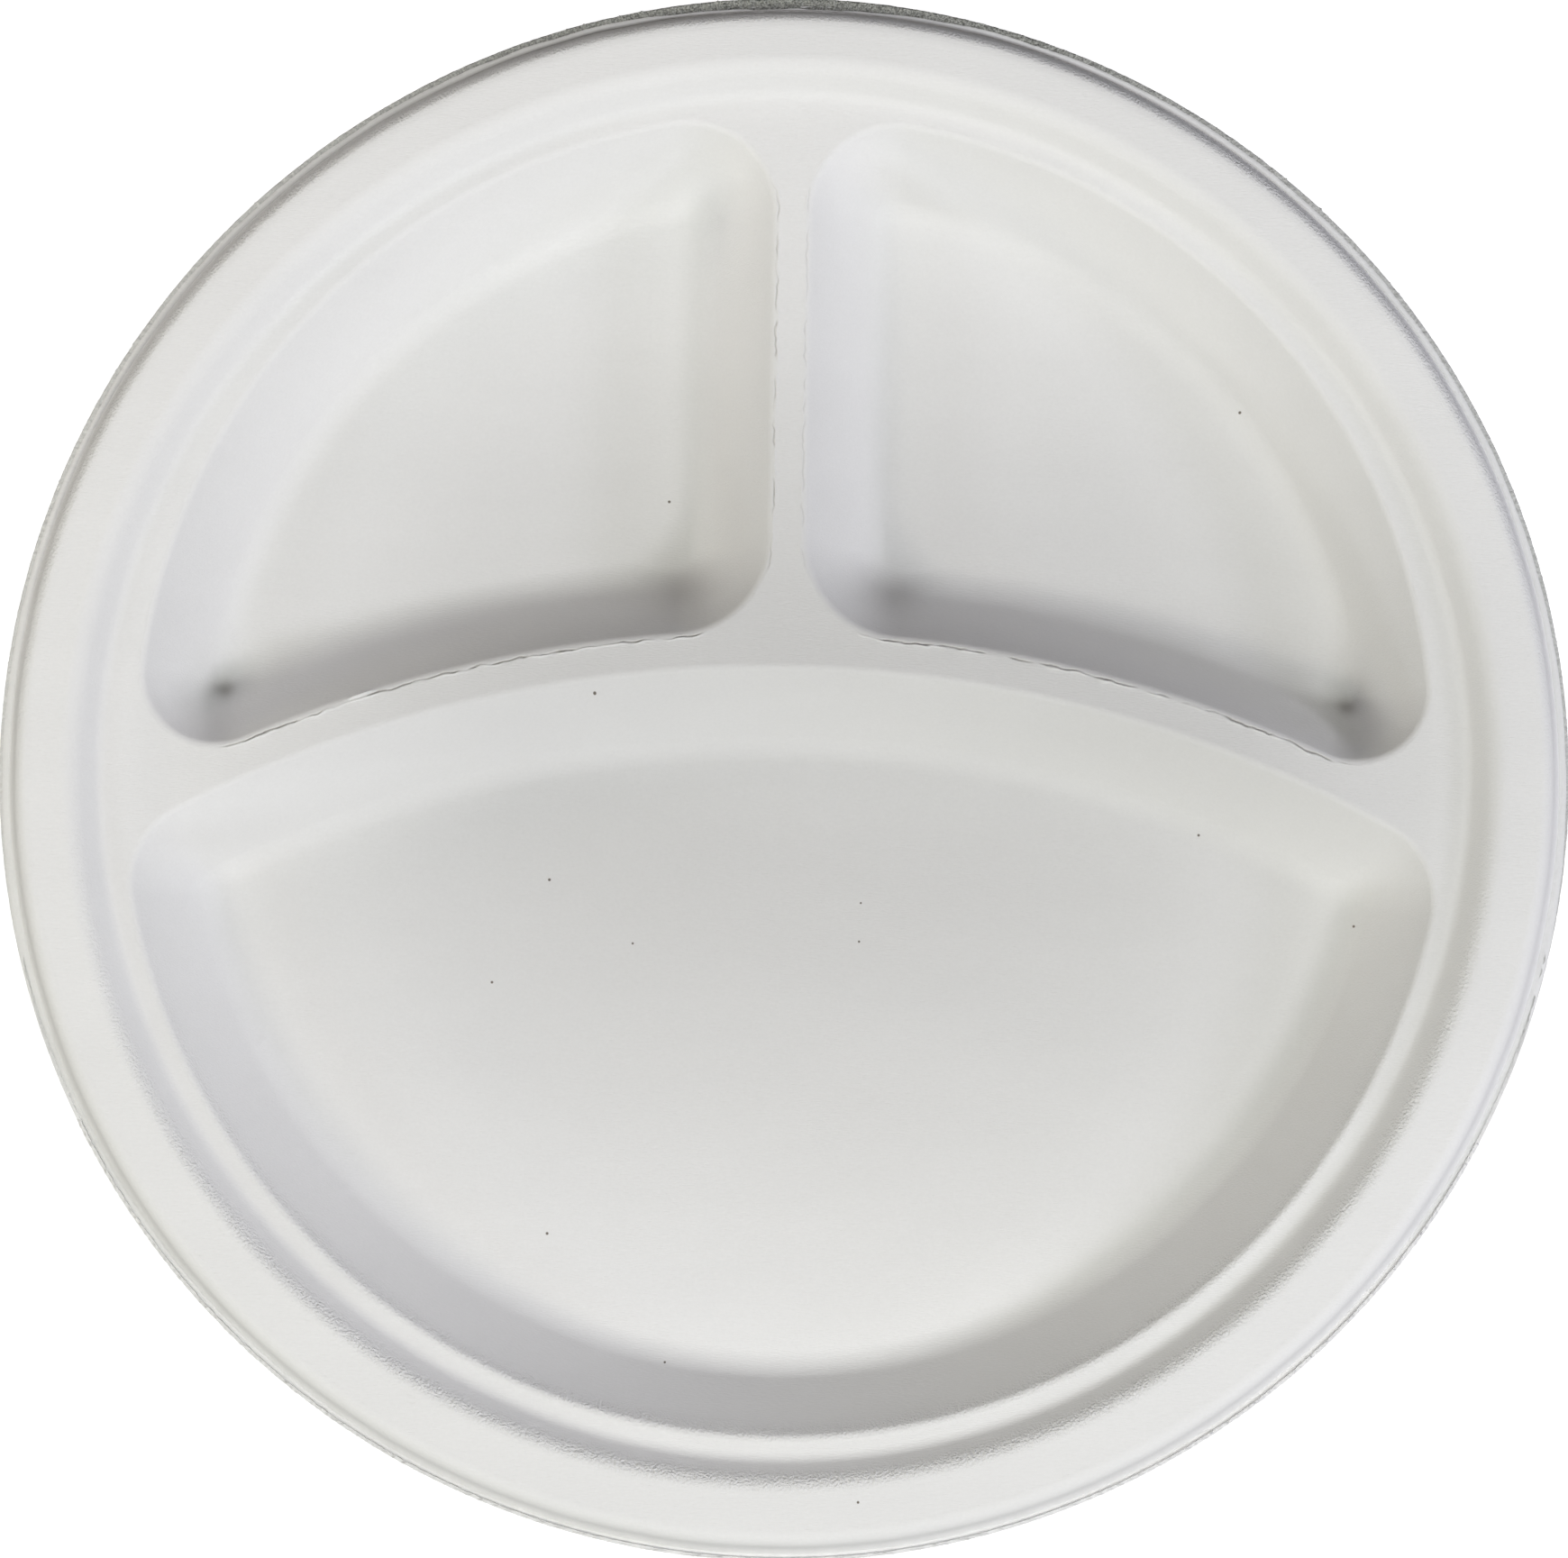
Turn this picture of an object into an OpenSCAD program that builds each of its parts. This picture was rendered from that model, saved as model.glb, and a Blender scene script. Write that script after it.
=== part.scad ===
// Round compartment plate pressed from pulp: one thin shell with a raised rim, a trimmed lip,
// two small compartments at the back (+Y) and one large compartment at the front (-Y).
// Millimetres, +Z up, origin at the centre of the underside the plate rests on.

/* [Plate] */
// Outer diameter across the trimmed lip
plate_d = 260; // [240:1:276]
// Thickness of the pressed pulp
wall_t = 0.7; // [0.5:0.05:1]
// Depth of the compartments below the divider tops
well_depth = 17.5; // [12:0.5:22]
// Slope of the compartment walls, measured from the floor
wall_angle = 58; // [54:1:70]
// Radius where a wall turns into the floor
floor_r = 5.5; // [3:0.5:7]
// Radius where a wall turns over the top edge
edge_r = 1.6; // [1.2:0.1:2.4]

/* [Rim] */
// Height of the rim's top above the divider tops
rim_h = 5; // [2.5:0.1:6]
// Width of the trimmed lip outside the rim
lip_w = 1.5; // [1:0.05:3]
// Height of the lip's top relative to the divider tops
lip_z = -0.2; // [-1:0.1:0.6]
// Radius of the rim's outer shoulder
shoulder_r = 2.8; // [1.4:0.1:3.2]
// Slope of the rim's outer skirt, measured from the horizontal
skirt_angle = 72; // [70:1:86]
// Width of the rim's flat top
rim_top_w = 5.6; // [3:0.2:8]
// Slope of the rim's inner side at its steepest
bank_angle = 54; // [40:1:62]
// Radius of the rim's inner shoulder
bank_top_r = 4.2; // [2:0.2:6]
// Radius where the rim's inner side meets the ledge
bank_foot_r = 2.4; // [1:0.2:4]

/* [Compartments] */
// Width of the ledge between the rim and the large compartment
ledge_w = 1.6; // [1:0.1:4]
// Width of the divider tops
divider_w = 4.4; // [4:0.2:9]
// Radius of the arched divider's centre line
arch_r = 216.7; // [170:0.1:300]
// Distance of the arched divider's crown behind the plate's centre
arch_y = 20; // [10:0.1:32]
// Outer radius of the small compartments
small_r = 106; // [98:0.2:108]
// Direction in which the small compartments reach closest to the rim
small_az = 113; // [105:1:125]
// How much closer to the rim they reach there than the large compartment does
small_out = 0.4; // [0:0.1:0.8]

/* [Corners] */
// Corner radius of the large compartment
large_corner_r = 14.6; // [10:0.2:18]
// Corner radius beside the rim's top junction
top_corner_r = 15.4; // [10:0.2:18]
// Corner radius where the two dividers meet
junction_r = 17.4; // [10:0.2:20]
// Corner radius at the outer ends of the arched divider
end_corner_r = 12.9; // [10:0.1:18]

/* [Hidden] */
$fn = 96;
pulp = [0.93, 0.93, 0.91];

// heights: divider tops, rim top, lip top
top_z = wall_t + well_depth;
rim_z = top_z + rim_h;
lip_top = top_z + lip_z;

// clearances: how far the cutting shapes reach above the divider tops and below the floor, and
// how much higher each ends than the one before, so that no two of them end in one plane
over = 3;
under = 1;
apart = 1;

// radii of the rim, worked out from the lip inwards
lip_r = plate_d / 2;
crease_r = lip_r - lip_w;
skirt_drop = rim_z - lip_top - shoulder_r * (1 - cos(skirt_angle));
rim_out_r = crease_r - skirt_drop / tan(skirt_angle) - shoulder_r * sin(skirt_angle);
rim_in_r = rim_out_r - rim_top_w;
bank_drop = rim_h - (bank_top_r + bank_foot_r) * (1 - cos(bank_angle));
bank_w = (bank_top_r + bank_foot_r) * sin(bank_angle) + max(bank_drop, 0) / tan(bank_angle);
ledge_r = rim_in_r - bank_w;
large_r = ledge_r - ledge_w;

// circle the small compartments follow next to the rim, and the circle of the arched divider
small_c = (large_r + small_out - small_r) * [cos(small_az), sin(small_az)];
arch_c = [0, arch_y - arch_r];
arch_low = arch_r - divider_w / 2;
arch_high = arch_r + divider_w / 2;
half_w = divider_w / 2;

// corner centres: each is one corner radius away from both of the edges it joins
function meet(c0, r0, c1, r1, side) =
    let (d = norm(c1 - c0), u = (c1 - c0) / d,
         a = (d * d + r0 * r0 - r1 * r1) / (2 * d),
         h = sqrt(max(r0 * r0 - a * a, 0)))
    c0 + a * u + side * h * [-u[1], u[0]];

large_k = meet([0, 0], large_r - large_corner_r, arch_c, arch_low - large_corner_r, -1);
end_k = meet(small_c, small_r - end_corner_r, arch_c, arch_high + end_corner_r, -1);
top_x = -half_w - top_corner_r;
top_k = [top_x, small_c[1] + sqrt(pow(small_r - top_corner_r, 2) - pow(top_x - small_c[0], 2))];
jun_x = -half_w - junction_r;
junction_k = [jun_x, arch_c[1] + sqrt(pow(arch_high + junction_r, 2) - jun_x * jun_x)];

// direction from one point to another, in degrees
function heading(a, b) = atan2(b[1] - a[1], b[0] - a[0]);

// cross-section of a wall as [inward distance, height]; drop 0 is the upper face and
// wall_t the lower face, which keeps the same thickness all the way down
EDGE_STEPS = 3;
FLOOR_STEPS = 5;
straight = (well_depth - (edge_r + floor_r) * (1 - cos(wall_angle))) / sin(wall_angle);
wall_run = (edge_r + floor_r) * sin(wall_angle) + straight * cos(wall_angle);
function edge_arc(drop) = [
    for (i = [0 : EDGE_STEPS])
        let (a = wall_angle * i / EDGE_STEPS)
        [(edge_r - drop) * sin(a), top_z - edge_r + (edge_r - drop) * cos(a)]
];
function floor_arc(drop) = [
    for (i = [0 : FLOOR_STEPS])
        let (a = wall_angle * (1 - i / FLOOR_STEPS))
        [wall_run - (floor_r + drop) * sin(a), wall_t + floor_r - (floor_r + drop) * cos(a)]
];

// the section runs on a little below the floor, which is cut flat afterwards
function run_on(w) =
    let (a = w[len(w) - 2], b = w[len(w) - 1])
    concat(w, [b + (b - a)]);
function wall(drop) = run_on(concat(edge_arc(drop), floor_arc(drop)));
function low(drop) = wall_t - drop - under;

// the part of a wall section that lies within a distance s of its top edge
function wall_to(drop, s) =
    let (w = wall(drop), n = len([for (p = w) if (p[0] < s) p]))
    n >= len(w)
    ? concat(w, [[w[len(w) - 1][0], low(drop)], [s, low(drop)]])
    : concat(
        [for (i = [0 : n - 1]) w[i]],
        [let (a = w[n - 1], b = w[n], f = (s - a[0]) / (b[0] - a[0])) a + f * (b - a)]
    );

// space inside a round edge of radius r
module inside_round(c, r, drop, top) {
    w = wall_to(drop, r);
    translate([c[0], c[1], 0])
        rotate_extrude()
            polygon(concat([[0, top], [r, top]], [for (p = w) [r - p[0], p[1]]]));
}

// hill under a round edge of radius r, widening towards the floor
module round_hill(c, r, drop, top) {
    w = wall(drop);
    foot = w[len(w) - 1][0];
    translate([c[0], c[1], 0])
        rotate_extrude()
            polygon(concat([[0, top], [r, top]], [for (p = w) [r + p[0], p[1]]],
                           [[r + foot, low(drop)], [0, low(drop)]]));
}

// space on the left of the straight divider
module beside_divider(drop, top) {
    reach = plate_d / 2;
    w = wall_to(drop, reach);
    translate([0, reach, 0])
        rotate([90, 0, 0])
            linear_extrude(height = plate_d)
                polygon(concat([[-half_w - reach, top], [-half_w, top]],
                               [for (p = w) [-half_w - p[0], p[1]]]));
}

// level slab between the floor and the given top
module between(drop, top) {
    translate([0, 0, wall_t - drop]) cylinder(r = plate_d, h = top - wall_t + drop);
}

// filling of one sharp corner: a block seen from the corner centre between two headings,
// less the round space that stays open. The round is a hair larger than the corner radius,
// so that it crosses the neighbouring walls instead of only touching them.
BLEND = 0.12;
CORNER_REACH = 8;   // how far the block reaches past the corner radius along the two walls
CORNER_TIP = 1.6;   // how much further than that it reaches straight into the corner
module corner_fill(k, r, from, to, drop, top) {
    mid = (from + to) / 2;
    reach = r + CORNER_REACH;
    round_r = r + BLEND;
    block_top = top + 6 * apart;
    round_top = block_top + apart;
    w = wall_to(drop, round_r);
    tip = k + BLEND / 2 * [cos(mid), sin(mid)];
    difference() {
        translate([tip[0], tip[1], -over])
            linear_extrude(height = block_top + over)
                polygon([
                    [0, 0],
                    reach * [cos(from), sin(from)],
                    reach * CORNER_TIP * [cos(mid), sin(mid)],
                    reach * [cos(to), sin(to)]
                ]);
        translate([k[0], k[1], 0])
            rotate_extrude()
                polygon(concat([[0, round_top], [round_r, round_top]],
                               [for (p = w) [round_r - p[0], p[1]]]));
    }
}

// corners as [centre, radius, first heading, last heading]
large_left = [large_k, large_corner_r, heading(arch_c, large_k), heading([0, 0], large_k) + 360];
large_right = [
    [-large_k[0], large_k[1]], large_corner_r, 180 - large_left[3], 180 - large_left[2]
];
small_top = [top_k, top_corner_r, 0, heading(small_c, top_k)];
small_end = [end_k, end_corner_r, heading(small_c, end_k), heading(end_k, arch_c) + 360];
small_junction = [junction_k, junction_r, heading(junction_k, arch_c), 0];

module fill_corners(corners, drop, top) {
    for (q = corners) corner_fill(q[0], q[1], q[2], q[3], drop, top);
}

// space of the large compartment, down to its upper or lower face
module large_well(drop, top) {
    difference() {
        intersection() {
            between(drop, top);
            inside_round([0, 0], large_r, drop, top + apart);
            inside_round(arch_c, arch_low, drop, top + 2 * apart);
        }
        fill_corners([large_left, large_right], drop, top);
    }
}

// space of the left small compartment, down to its upper or lower face
module small_well(drop, top) {
    difference() {
        intersection() {
            between(drop, top);
            inside_round(small_c, small_r, drop, top + apart);
            beside_divider(drop, top + 2 * apart);
        }
        round_hill(arch_c, arch_high, drop, top + 3 * apart);
        fill_corners([small_top, small_end, small_junction], drop, top);
    }
}

// half section of the ledge, rim and lip: upper face for drop 0, lower face for drop wall_t
RIM_STEPS = 5;
function bend(c, r, a0, a1) = [
    for (i = [0 : RIM_STEPS])
        let (a = a0 + (a1 - a0) * i / RIM_STEPS)
        c + r * [cos(a), sin(a)]
];
function rim_face(drop) = concat(
    [[0, top_z - drop]],
    bend([ledge_r, top_z + bank_foot_r], bank_foot_r + drop, -90, bank_angle - 90),
    bend([rim_in_r, rim_z - bank_top_r], bank_top_r - drop, 90 + bank_angle, 90),
    bend([rim_out_r, rim_z - shoulder_r], shoulder_r - drop, 90, 90 - skirt_angle),
    [[crease_r - drop * tan(skirt_angle / 2), lip_top - drop]],
    [[lip_r, lip_top - drop]]
);
function reversed(v) = [for (i = [len(v) - 1 : -1 : 0]) v[i]];

module plate() {
    color(pulp)
    difference() {
        union() {
            rotate_extrude() polygon(concat(rim_face(0), reversed(rim_face(wall_t))));
            large_well(wall_t, top_z - wall_t / 2);
            small_well(wall_t, top_z - wall_t / 2);
            mirror([1, 0, 0]) small_well(wall_t, top_z - wall_t / 2);
        }
        large_well(0, top_z + over);
        small_well(0, top_z + over);
        mirror([1, 0, 0]) small_well(0, top_z + over);
    }
}

plate();
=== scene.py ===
"""Looks for a round compartment plate pressed from bleached plant pulp.

The plate is one thin shell, so one piece stands for the CAD node: a fine mesh of the same wells,
dividers, ledge, rim and lip, with true rolled edges and fillets, the pulp's slight unevenness and a
torn, fibrous lip edge. Lengths are millimetres in the frame's axes until a mesh is written.
"""

import math

import bpy
import numpy as np
from mathutils import Matrix, Vector
from mathutils.geometry import delaunay_2d_cdt


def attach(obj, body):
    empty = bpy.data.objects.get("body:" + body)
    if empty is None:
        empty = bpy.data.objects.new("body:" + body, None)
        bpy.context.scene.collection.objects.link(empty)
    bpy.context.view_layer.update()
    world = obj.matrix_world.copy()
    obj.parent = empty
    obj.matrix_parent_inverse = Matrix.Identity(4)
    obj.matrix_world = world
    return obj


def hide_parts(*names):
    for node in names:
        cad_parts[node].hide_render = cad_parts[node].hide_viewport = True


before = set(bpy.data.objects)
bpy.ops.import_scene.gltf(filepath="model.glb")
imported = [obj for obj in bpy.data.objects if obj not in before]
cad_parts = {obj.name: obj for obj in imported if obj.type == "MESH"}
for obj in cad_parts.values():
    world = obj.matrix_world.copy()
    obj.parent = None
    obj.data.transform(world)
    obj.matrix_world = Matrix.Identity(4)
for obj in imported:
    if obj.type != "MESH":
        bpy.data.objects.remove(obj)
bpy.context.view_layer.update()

MM = 0.001

# ---------------------------------------------------------------- driving sizes of the plate
WALL_T = 0.7            # thickness of the pressed pulp
WELL_DEPTH = 17.5       # well floors below the divider tops
WALL_ANGLE = math.radians(58)
FLOOR_R = 5.5           # roll of a wall into the floor
END_FLOOR_R = 1.4       # the same at the pockets of the outer corners, and how far they reach
END_POCKET = 7.0
JUNCTION_FLOOR_R = 3.6  # the same at the corners where the dividers meet
JUNCTION_POCKET = 9.0
ARCH_FLOOR_R = 8.0      # the same along the back of the arched divider, and how far that reaches
ARCH_FLOOR_TO = 22.0
ARCH_FLOOR_FADE = 5.0
EDGE_R = 1.6            # roll of a wall over its top edge
RIM_H = 5.0             # rim top above the divider tops
LIP_W = 1.5             # trimmed lip outside the rim
LIP_Z = -0.2            # lip top relative to the divider tops
SHOULDER_R = 2.8        # outer roll of the rim
SKIRT_ANGLE = math.radians(72)
RIM_TOP_W = 5.6         # flat top of the rim
BANK_ANGLE = math.radians(54)  # bank between the ledge and the rim, with a roll at its top and foot
BANK_TOP_R = 4.2
BANK_FOOT_R = 2.4
LEDGE_W = 1.6           # flat ledge between the bank and the large well
DIVIDER_W = 4.4
ARCH_R = 216.7          # centre line of the arched divider
ARCH_Y = 20.0           # its crown
SMALL_R = 106.0         # outer circle of the small wells
SMALL_AZ = math.radians(113)
SMALL_GAP = 0.4         # how much closer to the rim the small wells come than the large one
LARGE_CORNER_R = 14.6
TOP_CORNER_R = 15.4
JUNCTION_R = 17.4
END_CORNER_R = 12.9
PLATE_R = 130.0
LIP_R = 129.94          # the trimmed edge, a hair inside the solid's so that its grain stays within
TOP_Z = WALL_T + WELL_DEPTH
RIM_Z = TOP_Z + RIM_H
LIP_TOP = TOP_Z + LIP_Z

CREASE_R = PLATE_R - LIP_W
SKIRT_DROP = RIM_Z - LIP_TOP - SHOULDER_R * (1 - math.cos(SKIRT_ANGLE))
RIM_OUT_R = CREASE_R - SKIRT_DROP / math.tan(SKIRT_ANGLE) - SHOULDER_R * math.sin(SKIRT_ANGLE)
RIM_IN_R = RIM_OUT_R - RIM_TOP_W
BANK_DROP = RIM_H - (BANK_TOP_R + BANK_FOOT_R) * (1 - math.cos(BANK_ANGLE))
BANK_W = (BANK_TOP_R + BANK_FOOT_R) * math.sin(BANK_ANGLE) + BANK_DROP / math.tan(BANK_ANGLE)
LEDGE_R = RIM_IN_R - BANK_W
LARGE_R = LEDGE_R - LEDGE_W

STRAIGHT = (WELL_DEPTH - (EDGE_R + FLOOR_R) * (1 - math.cos(WALL_ANGLE))) / math.sin(WALL_ANGLE)
WALL_RUN = (EDGE_R + FLOOR_R) * math.sin(WALL_ANGLE) + STRAIGHT * math.cos(WALL_ANGLE)


# ---------------------------------------------------------------- plan of the wells
def unit(angle):
    return np.array([math.cos(angle), math.sin(angle)])


def heading(a, b):
    return math.atan2(b[1] - a[1], b[0] - a[0])


def meet(c0, r0, c1, r1, side):
    """A point r0 from c0 and r1 from c1, on the given side of the line between them."""
    d = np.linalg.norm(c1 - c0)
    u = (c1 - c0) / d
    a = (d * d + r0 * r0 - r1 * r1) / (2 * d)
    h = math.sqrt(max(r0 * r0 - a * a, 0.0))
    return c0 + a * u + side * h * np.array([-u[1], u[0]])


class Arc:
    """One round stretch of an outline. bulge is 1 where the well lies inside the circle, else -1."""

    def __init__(self, centre, radius, start, end, bulge=1):
        self.centre = np.asarray(centre, float)
        self.radius, self.start, self.end, self.bulge = radius, start, end, bulge

    def length(self):
        return abs(self.end - self.start) * self.radius

    def sample(self, n):
        """n points along the stretch without its last one, and the way into the well at each."""
        a = self.start + (self.end - self.start) * np.arange(n) / n
        out = np.stack([np.cos(a), np.sin(a)], axis=1)
        return self.centre + self.radius * out, -self.bulge * out

    def inset(self, p):
        return self.bulge * (self.radius - np.linalg.norm(p - self.centre, axis=1))

    def covers(self, p):
        """Which points lie in the sector between the stretch's two ends."""
        a = np.arctan2(p[:, 1] - self.centre[1], p[:, 0] - self.centre[0])
        mid = (self.start + self.end) / 2
        off = (a - mid + math.pi) % (2 * math.pi) - math.pi
        return np.abs(off) <= abs(self.end - self.start) / 2


class Line:
    """One straight stretch of an outline, with the well on its left."""

    def __init__(self, start, end):
        self.start, self.end = np.asarray(start, float), np.asarray(end, float)
        along = (self.end - self.start) / np.linalg.norm(self.end - self.start)
        self.into = np.array([-along[1], along[0]])

    def length(self):
        return float(np.linalg.norm(self.end - self.start))

    def sample(self, n):
        f = (np.arange(n) / n)[:, None]
        p = self.start + (self.end - self.start) * f
        return p, np.repeat(self.into[None, :], n, axis=0)

    def inset(self, p):
        return (p - self.start) @ self.into


LEAST_POINTS = 4         # on the shortest stretch of an outline
CORNER_MARGIN = 1.0      # how far past its centre a corner still shapes the distance


class Well:
    """An outline run anticlockwise, so that the well lies on its left."""

    def __init__(self, sides, corners, order):
        self.sides, self.corners, self.order = sides, corners, order

    def outline(self, step):
        points, normals = [], []
        for part in self.order:
            p, n = part.sample(max(LEAST_POINTS, round(part.length() / step)))
            points.append(p)
            normals.append(n)
        return np.concatenate(points), np.concatenate(normals)

    def depth_in(self, p):
        """Distance of each point from the outline, positive inside the well."""
        d = np.min([s.inset(p) for s in self.sides], axis=0)
        for corner in self.corners:
            beside = corner.covers(p) & (d < corner.radius + CORNER_MARGIN)
            d = np.where(beside, np.minimum(d, corner.inset(p)), d)
        return d


ARCH_C = np.array([0.0, ARCH_Y - ARCH_R])
ARCH_LOW = ARCH_R - DIVIDER_W / 2
ARCH_HIGH = ARCH_R + DIVIDER_W / 2
HALF_W = DIVIDER_W / 2
ORIGIN = np.zeros(2)
TURN = 2 * math.pi


def large_well():
    """The front well, between the rim's ledge and the arched divider."""
    k = meet(ORIGIN, LARGE_R - LARGE_CORNER_R, ARCH_C, ARCH_LOW - LARGE_CORNER_R, -1)
    k_left = np.array([-abs(k[0]), k[1]])
    k_right = np.array([abs(k[0]), k[1]])
    rim_left, rim_right = heading(ORIGIN, k_left), heading(ORIGIN, k_right)
    arch_left, arch_right = heading(ARCH_C, k_left), heading(ARCH_C, k_right)
    outer = Arc(ORIGIN, LARGE_R, rim_left % TURN, rim_right % TURN)
    right = Arc(k_right, LARGE_CORNER_R, rim_right, arch_right)
    arch = Arc(ARCH_C, ARCH_LOW, arch_right, arch_left)
    left = Arc(k_left, LARGE_CORNER_R, arch_left, rim_left % TURN)
    return Well([outer, arch], [left, right], [outer, right, arch, left])


def small_well(side):
    """side is -1 for the left well and 1 for the right one, its mirror image."""
    centre = (LARGE_R + SMALL_GAP - SMALL_R) * unit(SMALL_AZ)
    end_k = meet(centre, SMALL_R - END_CORNER_R, ARCH_C, ARCH_HIGH + END_CORNER_R, -1)
    top_x = -HALF_W - TOP_CORNER_R
    reach = SMALL_R - TOP_CORNER_R
    top_k = np.array([top_x, centre[1] + math.sqrt(reach ** 2 - (top_x - centre[0]) ** 2)])
    jun_x = -HALF_W - JUNCTION_R
    jun_k = np.array([jun_x, ARCH_C[1] + math.sqrt((ARCH_HIGH + JUNCTION_R) ** 2 - jun_x ** 2)])

    top_a, end_a = heading(centre, top_k), heading(centre, end_k)
    end_b, jun_b = heading(end_k, ARCH_C), heading(jun_k, ARCH_C)
    outer = Arc(centre, SMALL_R, top_a, end_a % TURN)
    end = Arc(end_k, END_CORNER_R, end_a % TURN, end_b % TURN)
    arch = Arc(ARCH_C, ARCH_HIGH, heading(ARCH_C, end_k), heading(ARCH_C, jun_k), bulge=-1)
    junction = Arc(jun_k, JUNCTION_R, jun_b, 0.0)
    wall = Line([-HALF_W, jun_k[1]], [-HALF_W, top_k[1]])
    top = Arc(top_k, TOP_CORNER_R, 0.0, top_a)
    sides, corners = [outer, arch, wall], [end, junction, top]
    order = [outer, end, arch, junction, wall, top]
    if side > 0:
        flip = np.array([-1.0, 1.0])

        def mirrored(part):
            if isinstance(part, Line):
                return Line(part.end * flip, part.start * flip)
            return Arc(part.centre * flip, part.radius, math.pi - part.end,
                       math.pi - part.start, part.bulge)

        swap = {id(part): mirrored(part) for part in order}
        sides = [swap[id(p)] for p in sides]
        corners = [swap[id(p)] for p in corners]
        order = [swap[id(p)] for p in reversed(order)]
    return Well(sides, corners, order)


WELLS = [large_well(), small_well(-1), small_well(1)]


# ---------------------------------------------------------------- heights
EDGE_RUN = EDGE_R * math.sin(WALL_ANGLE)


def wall_height(d, roll=FLOOR_R):
    """Height of the upper face at a distance d inside a well's outline, for a floor roll."""
    straight = (WELL_DEPTH - (EDGE_R + roll) * (1 - math.cos(WALL_ANGLE))) / math.sin(WALL_ANGLE)
    run = (EDGE_R + roll) * math.sin(WALL_ANGLE) + straight * math.cos(WALL_ANGLE)
    z1 = TOP_Z - EDGE_R * (1 - math.cos(WALL_ANGLE))
    drop = EDGE_R - np.sqrt(np.maximum(EDGE_R ** 2 - np.clip(d, 0, EDGE_RUN) ** 2, 0))
    slope = z1 - (d - EDGE_RUN) * math.tan(WALL_ANGLE)
    left = np.clip(run - d, 0, roll)
    floor = WALL_T + roll - np.sqrt(np.maximum(roll ** 2 - left ** 2, 0))
    bend_at = EDGE_RUN + straight * math.cos(WALL_ANGLE)
    return np.where(d < EDGE_RUN, TOP_Z - drop, np.where(d < bend_at, slope, floor))


def ease(x):
    """0 up to x = 0 and 1 from x = 1, with a smooth step between."""
    x = np.clip(x, 0, 1)
    return x * x * (3 - 2 * x)


def near(p, centre, reach):
    """1 at the centre, easing to 0 at the given reach."""
    return ease(1 - np.linalg.norm(p - np.asarray(centre), axis=1) / reach)


def floor_roll(p):
    """Radius of the turn from wall to floor: the mould's corners end in tighter pockets."""
    behind = np.linalg.norm(p - ARCH_C, axis=1) - ARCH_HIGH
    along_arch = ease((ARCH_FLOOR_TO - behind) / ARCH_FLOOR_FADE) * (behind > 0)
    roll = FLOOR_R + (ARCH_FLOOR_R - FLOOR_R) * along_arch
    for well in WELLS[1:]:
        end, junction = well.corners[:2]
        roll += (END_FLOOR_R - roll) * near(p, end.centre, END_POCKET)
        roll += (JUNCTION_FLOOR_R - roll) * near(p, junction.centre, JUNCTION_POCKET)
    return roll


LEAST_TURN_POINTS = 6    # on the tightest turn of the rim


def rim_profile(step):
    """Points of the upper face from the ledge out to the foot of the rim, as radius, height."""
    def bend(c, r, a0, a1):
        n = max(LEAST_TURN_POINTS, round(abs(a1 - a0) * r / step))
        a = np.linspace(a0, a1, n)
        return np.stack([c[0] + r * np.cos(a), c[1] + r * np.sin(a)], axis=1)

    half = math.pi / 2
    turns = [
        bend((LEDGE_R, TOP_Z + BANK_FOOT_R), BANK_FOOT_R, -half, BANK_ANGLE - half),
        bend((RIM_IN_R, RIM_Z - BANK_TOP_R), BANK_TOP_R, half + BANK_ANGLE, half),
        bend((RIM_OUT_R, RIM_Z - SHOULDER_R), SHOULDER_R, half, half - SKIRT_ANGLE),
    ]
    out = [turns[0]]
    for turn in turns[1:]:
        a, b = out[-1][-1], turn[0]
        n = max(1, round(np.linalg.norm(b - a) / step))
        f = (np.arange(1, n) / n)[:, None]
        out.append(a + (b - a) * f)
        out.append(turn)
    return np.concatenate(out)


# ---------------------------------------------------------------- unevenness of the pulp
LATTICE = 128            # cells along each side of the random field, after which it repeats


def lattice_noise(p, size, seed):
    """Smooth random field of about -1 to 1 over points p, with features of the given size."""
    rng = np.random.default_rng(seed)
    table = rng.uniform(-1, 1, (LATTICE, LATTICE))
    q = p / size + LATTICE / 2
    i = np.floor(q).astype(int)
    f = q - i
    f = f * f * (3 - 2 * f)
    x0, y0 = i[:, 0] % LATTICE, i[:, 1] % LATTICE
    x1, y1 = (x0 + 1) % LATTICE, (y0 + 1) % LATTICE
    low = table[x0, y0] * (1 - f[:, 0]) + table[x1, y0] * f[:, 0]
    high = table[x0, y1] * (1 - f[:, 0]) + table[x1, y1] * f[:, 0]
    return low * (1 - f[:, 1]) + high * f[:, 1]


WAVE_RISE, WAVE_SIZE = 0.03, 9.0         # slow waves of the whole sheet, and shorter ripples
RIPPLE_RISE, RIPPLE_SIZE = 0.015, 3.0


def waves(p):
    return WAVE_RISE * lattice_noise(p, WAVE_SIZE, seed=21)


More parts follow.
